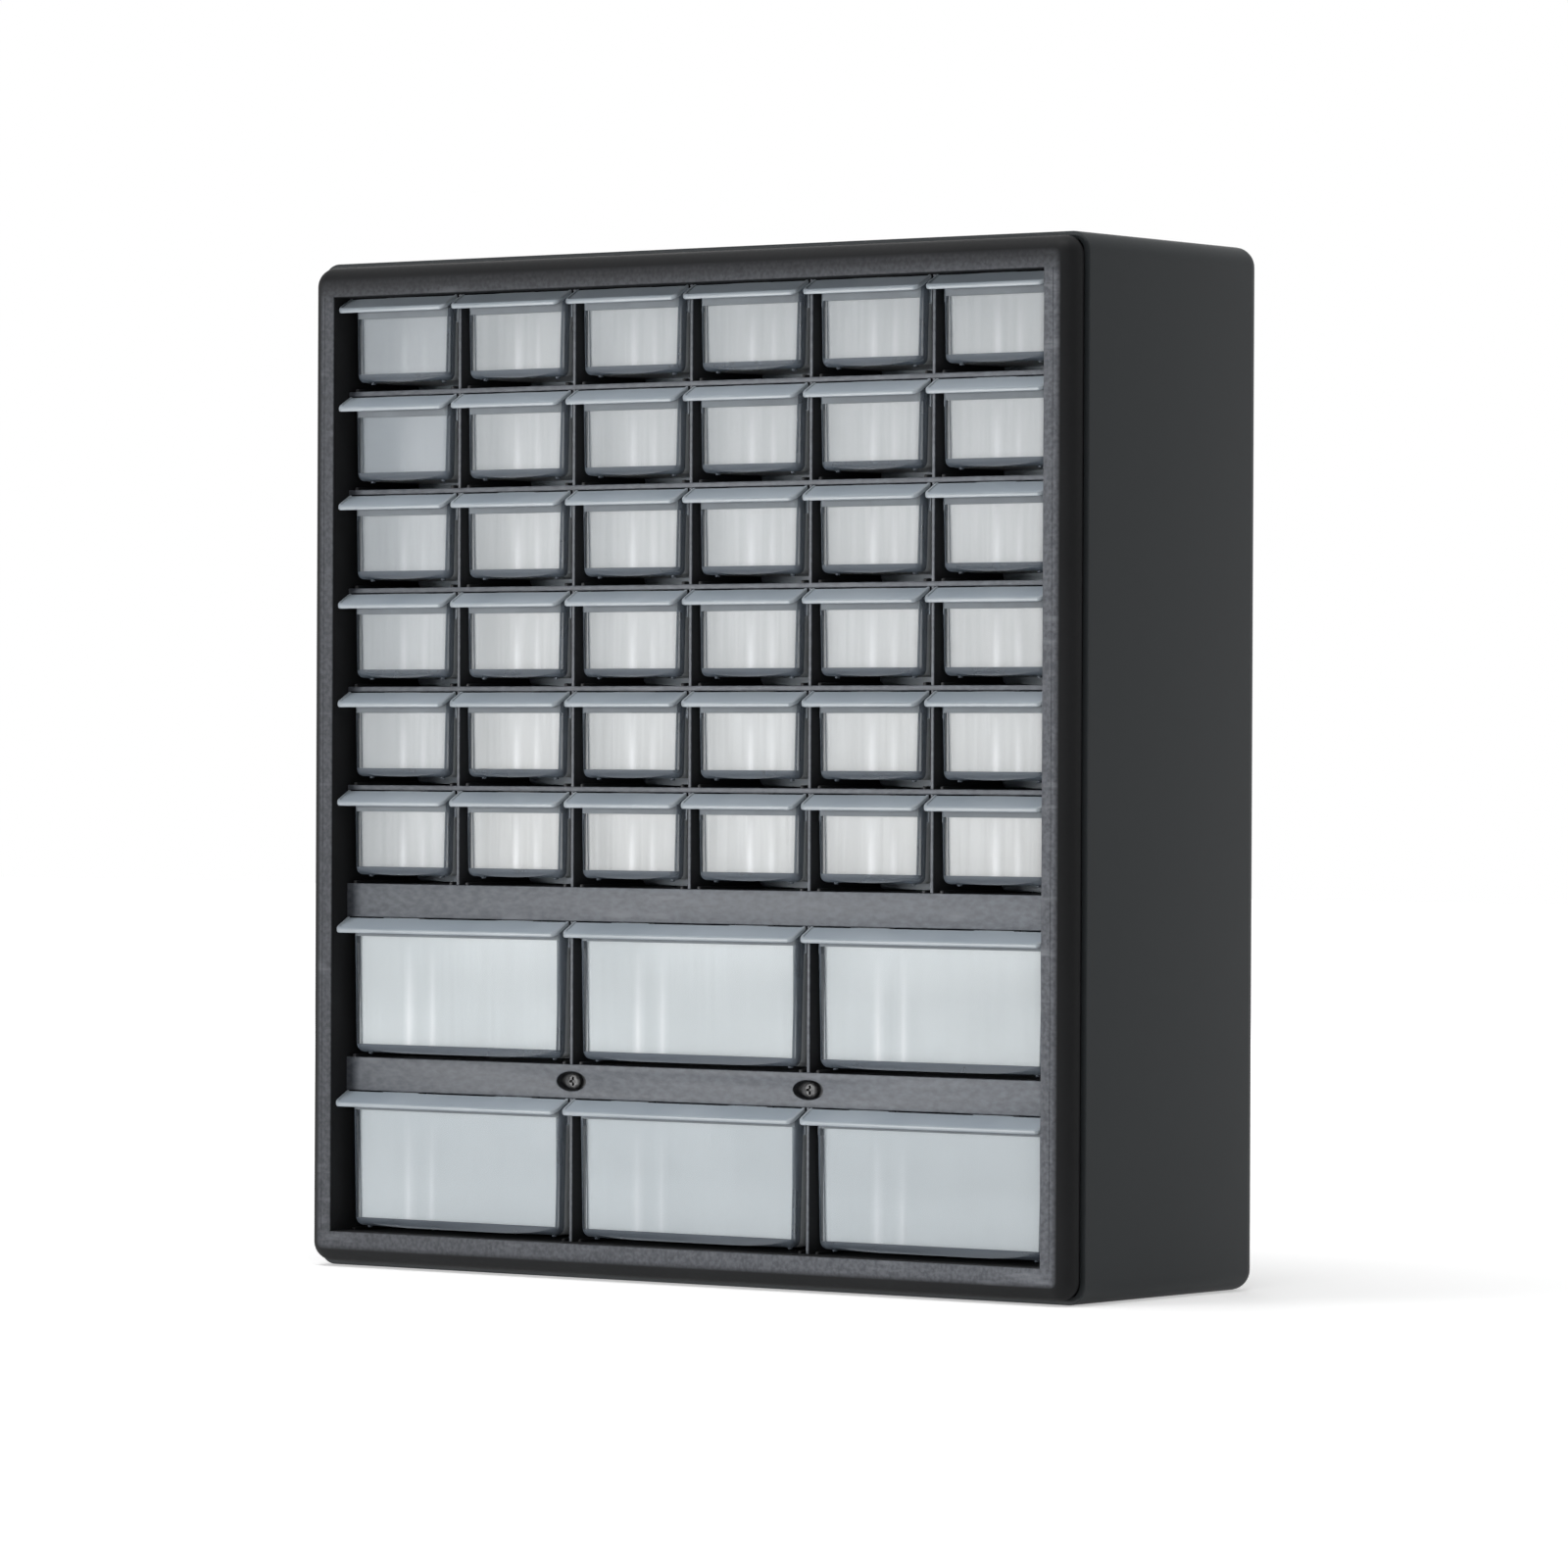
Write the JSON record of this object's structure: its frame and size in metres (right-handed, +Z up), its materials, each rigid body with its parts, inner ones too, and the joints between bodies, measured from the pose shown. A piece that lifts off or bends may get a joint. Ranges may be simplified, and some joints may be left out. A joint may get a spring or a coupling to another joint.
{
  "type": "parts bin cabinet",
  "caption": "Moulded tabletop cabinet with rows of small clear drawers above rows of wide clear drawers, in a dark plastic case with keyholes in its back.",
  "frame": {"origin": "on the surface the cabinet stands on, under the middle of the case", "axes": "+Z up, -Y out of the drawer fronts, +X to the right of someone facing the drawers"},
  "size_m": [0.38, 0.13, 0.4088],
  "materials": {
    "housing_charcoal": "fine satin grain",
    "case_black": "satin, lightly scuffed",
    "drawer_clear": "clear with a blue-grey tint",
    "screw_steel": "dull zinc",
    "card_white": "plain white card, in the visual scene only"
  },
  "bodies": {
    "case": {"housing": "housing_charcoal", "front_frame": "case_black", "upper_bar": "case_black", "lower_bar": "case_black", "frame_screws": "screw_steel", "large_dividers_upper": "case_black", "large_dividers_lower": "case_black", "shelf_1": "case_black", "shelf_2": "case_black", "shelf_3": "case_black", "shelf_4": "case_black", "shelf_5": "case_black", "divider_1": "case_black", "divider_2": "case_black", "divider_3": "case_black", "divider_4": "case_black", "divider_5": "case_black"},
    "small_drawer_1_1": {"small_drawer_1_1": "drawer_clear"},
    "small_drawer_1_2": {"small_drawer_1_2": "drawer_clear"},
    "small_drawer_1_3": {"small_drawer_1_3": "drawer_clear"},
    "small_drawer_1_4": {"small_drawer_1_4": "drawer_clear"},
    "small_drawer_1_5": {"small_drawer_1_5": "drawer_clear"},
    "small_drawer_1_6": {"small_drawer_1_6": "drawer_clear"},
    "small_drawer_2_1": {"small_drawer_2_1": "drawer_clear"},
    "small_drawer_2_2": {"small_drawer_2_2": "drawer_clear"},
    "small_drawer_2_3": {"small_drawer_2_3": "drawer_clear"},
    "small_drawer_2_4": {"small_drawer_2_4": "drawer_clear"},
    "small_drawer_2_5": {"small_drawer_2_5": "drawer_clear"},
    "small_drawer_2_6": {"small_drawer_2_6": "drawer_clear"},
    "small_drawer_3_1": {"small_drawer_3_1": "drawer_clear"},
    "small_drawer_3_2": {"small_drawer_3_2": "drawer_clear"},
    "small_drawer_3_3": {"small_drawer_3_3": "drawer_clear"},
    "small_drawer_3_4": {"small_drawer_3_4": "drawer_clear"},
    "small_drawer_3_5": {"small_drawer_3_5": "drawer_clear"},
    "small_drawer_3_6": {"small_drawer_3_6": "drawer_clear"},
    "small_drawer_4_1": {"small_drawer_4_1": "drawer_clear"},
    "small_drawer_4_2": {"small_drawer_4_2": "drawer_clear"},
    "small_drawer_4_3": {"small_drawer_4_3": "drawer_clear"},
    "small_drawer_4_4": {"small_drawer_4_4": "drawer_clear"},
    "small_drawer_4_5": {"small_drawer_4_5": "drawer_clear"},
    "small_drawer_4_6": {"small_drawer_4_6": "drawer_clear"},
    "small_drawer_5_1": {"small_drawer_5_1": "drawer_clear"},
    "small_drawer_5_2": {"small_drawer_5_2": "drawer_clear"},
    "small_drawer_5_3": {"small_drawer_5_3": "drawer_clear"},
    "small_drawer_5_4": {"small_drawer_5_4": "drawer_clear"},
    "small_drawer_5_5": {"small_drawer_5_5": "drawer_clear"},
    "small_drawer_5_6": {"small_drawer_5_6": "drawer_clear"},
    "small_drawer_6_1": {"small_drawer_6_1": "drawer_clear"},
    "small_drawer_6_2": {"small_drawer_6_2": "drawer_clear"},
    "small_drawer_6_3": {"small_drawer_6_3": "drawer_clear"},
    "small_drawer_6_4": {"small_drawer_6_4": "drawer_clear"},
    "small_drawer_6_5": {"small_drawer_6_5": "drawer_clear"},
    "small_drawer_6_6": {"small_drawer_6_6": "drawer_clear"},
    "large_drawer_1_1": {"large_drawer_1_1": "drawer_clear"},
    "large_drawer_1_2": {"large_drawer_1_2": "drawer_clear"},
    "large_drawer_1_3": {"large_drawer_1_3": "drawer_clear"},
    "large_drawer_2_1": {"large_drawer_2_1": "drawer_clear"},
    "large_drawer_2_2": {"large_drawer_2_2": "drawer_clear"},
    "large_drawer_2_3": {"large_drawer_2_3": "drawer_clear"}
  },
  "joints": [
    {"name": "small_drawer_1_1_slide", "type": "slide", "parent": "case", "child": "small_drawer_1_1", "axis": [0, -1, 0], "range_m": [0, 0.1039]},
    {"name": "small_drawer_1_2_slide", "type": "slide", "parent": "case", "child": "small_drawer_1_2", "axis": [0, -1, 0], "range_m": [0, 0.1039]},
    {"name": "small_drawer_1_3_slide", "type": "slide", "parent": "case", "child": "small_drawer_1_3", "axis": [0, -1, 0], "range_m": [0, 0.1039]},
    {"name": "small_drawer_1_4_slide", "type": "slide", "parent": "case", "child": "small_drawer_1_4", "axis": [0, -1, 0], "range_m": [0, 0.1039]},
    {"name": "small_drawer_1_5_slide", "type": "slide", "parent": "case", "child": "small_drawer_1_5", "axis": [0, -1, 0], "range_m": [0, 0.1039]},
    {"name": "small_drawer_1_6_slide", "type": "slide", "parent": "case", "child": "small_drawer_1_6", "axis": [0, -1, 0], "range_m": [0, 0.1039]},
    {"name": "small_drawer_2_1_slide", "type": "slide", "parent": "case", "child": "small_drawer_2_1", "axis": [0, -1, 0], "range_m": [0, 0.1039]},
    {"name": "small_drawer_2_2_slide", "type": "slide", "parent": "case", "child": "small_drawer_2_2", "axis": [0, -1, 0], "range_m": [0, 0.1039]},
    {"name": "small_drawer_2_3_slide", "type": "slide", "parent": "case", "child": "small_drawer_2_3", "axis": [0, -1, 0], "range_m": [0, 0.1039]},
    {"name": "small_drawer_2_4_slide", "type": "slide", "parent": "case", "child": "small_drawer_2_4", "axis": [0, -1, 0], "range_m": [0, 0.1039]},
    {"name": "small_drawer_2_5_slide", "type": "slide", "parent": "case", "child": "small_drawer_2_5", "axis": [0, -1, 0], "range_m": [0, 0.1039]},
    {"name": "small_drawer_2_6_slide", "type": "slide", "parent": "case", "child": "small_drawer_2_6", "axis": [0, -1, 0], "range_m": [0, 0.1039]},
    {"name": "small_drawer_3_1_slide", "type": "slide", "parent": "case", "child": "small_drawer_3_1", "axis": [0, -1, 0], "range_m": [0, 0.1039]},
    {"name": "small_drawer_3_2_slide", "type": "slide", "parent": "case", "child": "small_drawer_3_2", "axis": [0, -1, 0], "range_m": [0, 0.1039]},
    {"name": "small_drawer_3_3_slide", "type": "slide", "parent": "case", "child": "small_drawer_3_3", "axis": [0, -1, 0], "range_m": [0, 0.1039]},
    {"name": "small_drawer_3_4_slide", "type": "slide", "parent": "case", "child": "small_drawer_3_4", "axis": [0, -1, 0], "range_m": [0, 0.1039]},
    {"name": "small_drawer_3_5_slide", "type": "slide", "parent": "case", "child": "small_drawer_3_5", "axis": [0, -1, 0], "range_m": [0, 0.1039]},
    {"name": "small_drawer_3_6_slide", "type": "slide", "parent": "case", "child": "small_drawer_3_6", "axis": [0, -1, 0], "range_m": [0, 0.1039]},
    {"name": "small_drawer_4_1_slide", "type": "slide", "parent": "case", "child": "small_drawer_4_1", "axis": [0, -1, 0], "range_m": [0, 0.1039]},
    {"name": "small_drawer_4_2_slide", "type": "slide", "parent": "case", "child": "small_drawer_4_2", "axis": [0, -1, 0], "range_m": [0, 0.1039]},
    {"name": "small_drawer_4_3_slide", "type": "slide", "parent": "case", "child": "small_drawer_4_3", "axis": [0, -1, 0], "range_m": [0, 0.1039]},
    {"name": "small_drawer_4_4_slide", "type": "slide", "parent": "case", "child": "small_drawer_4_4", "axis": [0, -1, 0], "range_m": [0, 0.1039]},
    {"name": "small_drawer_4_5_slide", "type": "slide", "parent": "case", "child": "small_drawer_4_5", "axis": [0, -1, 0], "range_m": [0, 0.1039]},
    {"name": "small_drawer_4_6_slide", "type": "slide", "parent": "case", "child": "small_drawer_4_6", "axis": [0, -1, 0], "range_m": [0, 0.1039]},
    {"name": "small_drawer_5_1_slide", "type": "slide", "parent": "case", "child": "small_drawer_5_1", "axis": [0, -1, 0], "range_m": [0, 0.1039]},
    {"name": "small_drawer_5_2_slide", "type": "slide", "parent": "case", "child": "small_drawer_5_2", "axis": [0, -1, 0], "range_m": [0, 0.1039]},
    {"name": "small_drawer_5_3_slide", "type": "slide", "parent": "case", "child": "small_drawer_5_3", "axis": [0, -1, 0], "range_m": [0, 0.1039]},
    {"name": "small_drawer_5_4_slide", "type": "slide", "parent": "case", "child": "small_drawer_5_4", "axis": [0, -1, 0], "range_m": [0, 0.1039]},
    {"name": "small_drawer_5_5_slide", "type": "slide", "parent": "case", "child": "small_drawer_5_5", "axis": [0, -1, 0], "range_m": [0, 0.1039]},
    {"name": "small_drawer_5_6_slide", "type": "slide", "parent": "case", "child": "small_drawer_5_6", "axis": [0, -1, 0], "range_m": [0, 0.1039]},
    {"name": "small_drawer_6_1_slide", "type": "slide", "parent": "case", "child": "small_drawer_6_1", "axis": [0, -1, 0], "range_m": [0, 0.1039]},
    {"name": "small_drawer_6_2_slide", "type": "slide", "parent": "case", "child": "small_drawer_6_2", "axis": [0, -1, 0], "range_m": [0, 0.1039]},
    {"name": "small_drawer_6_3_slide", "type": "slide", "parent": "case", "child": "small_drawer_6_3", "axis": [0, -1, 0], "range_m": [0, 0.1039]},
    {"name": "small_drawer_6_4_slide", "type": "slide", "parent": "case", "child": "small_drawer_6_4", "axis": [0, -1, 0], "range_m": [0, 0.1039]},
    {"name": "small_drawer_6_5_slide", "type": "slide", "parent": "case", "child": "small_drawer_6_5", "axis": [0, -1, 0], "range_m": [0, 0.1039]},
    {"name": "small_drawer_6_6_slide", "type": "slide", "parent": "case", "child": "small_drawer_6_6", "axis": [0, -1, 0], "range_m": [0, 0.1039]},
    {"name": "large_drawer_1_1_slide", "type": "slide", "parent": "case", "child": "large_drawer_1_1", "axis": [0, -1, 0], "range_m": [0, 0.1039]},
    {"name": "large_drawer_1_2_slide", "type": "slide", "parent": "case", "child": "large_drawer_1_2", "axis": [0, -1, 0], "range_m": [0, 0.1039]},
    {"name": "large_drawer_1_3_slide", "type": "slide", "parent": "case", "child": "large_drawer_1_3", "axis": [0, -1, 0], "range_m": [0, 0.1039]},
    {"name": "large_drawer_2_1_slide", "type": "slide", "parent": "case", "child": "large_drawer_2_1", "axis": [0, -1, 0], "range_m": [0, 0.1039]},
    {"name": "large_drawer_2_2_slide", "type": "slide", "parent": "case", "child": "large_drawer_2_2", "axis": [0, -1, 0], "range_m": [0, 0.1039]},
    {"name": "large_drawer_2_3_slide", "type": "slide", "parent": "case", "child": "large_drawer_2_3", "axis": [0, -1, 0], "range_m": [0, 0.1039]}
  ]
}
